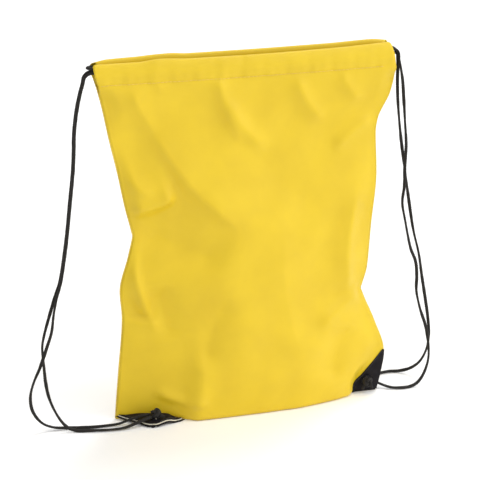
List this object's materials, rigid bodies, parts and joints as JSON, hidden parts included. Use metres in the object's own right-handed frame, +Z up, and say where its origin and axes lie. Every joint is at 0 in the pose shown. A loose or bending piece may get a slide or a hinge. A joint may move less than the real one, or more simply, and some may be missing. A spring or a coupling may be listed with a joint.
{
  "type": "drawstring backpack",
  "caption": "Flat cloth sack with an open drawstring mouth, cord shoulder straps and reinforced bottom corners, standing lightly filled.",
  "frame": {"origin": "middle of the bag's base on the ground", "axes": "+Z up from base to mouth, -Y the front, +X towards the corner whose ear stands upright"},
  "size_m": [0.486, 0.0866, 0.41],
  "materials": {
    "bag_cloth": "satin woven polyester",
    "seam_thread": "matte sewing thread",
    "patch_leathercloth": "semi-gloss grained leather cloth",
    "patch_thread": "matte sewing thread",
    "eyelet_metal": "black lacquered",
    "cord_braid": "matte braided cord"
  },
  "bodies": {
    "bag": {"front_panel": "bag_cloth", "back_panel": "bag_cloth", "left_ear": "bag_cloth", "left_side_seam": "seam_thread", "right_side_seam": "seam_thread", "bottom_seam": "seam_thread", "front_channel": "bag_cloth", "back_channel": "bag_cloth", "front_hem_stitching": "seam_thread", "back_hem_stitching": "seam_thread", "left_front_patch": "patch_leathercloth", "left_back_patch": "patch_leathercloth", "left_patch_stitching": "patch_thread", "right_front_patch": "patch_leathercloth", "right_back_patch": "patch_leathercloth", "right_patch_stitching": "patch_thread", "left_eyelet": "eyelet_metal", "left_eyelet_washer": "eyelet_metal", "right_eyelet": "eyelet_metal", "right_eyelet_washer": "eyelet_metal", "left_knot": "cord_braid", "right_knot": "cord_braid"},
    "left_cord": {"left_drawstring": "cord_braid"},
    "right_cord": {"right_drawstring": "cord_braid"},
    "left_strap": {"left_front_strand": "cord_braid", "left_back_strand": "cord_braid"},
    "right_strap": {"right_front_strand": "cord_braid", "right_back_strand": "cord_braid"}
  },
  "joints": [
    {"name": "left_cord_pull", "type": "slide", "parent": "bag", "child": "left_cord", "axis": [-1, 0, 0], "range_m": [0, 0.004]},
    {"name": "right_cord_pull", "type": "slide", "parent": "bag", "child": "right_cord", "axis": [1, 0, 0], "range_m": [0, 0.004]},
    {"name": "left_strap_swing", "type": "hinge", "parent": "left_cord", "child": "left_strap", "pos_m": [-0.111, -0.027, 0.011], "axis": [-0.1818, 0.0701, 0.9808], "range_deg": [-3, 60]},
    {"name": "right_strap_swing", "type": "hinge", "parent": "right_cord", "child": "right_strap", "pos_m": [0.148, 0.005, 0.014], "axis": [0.084, -0.0131, 0.9964], "range_deg": [-4, 60]}
  ]
}
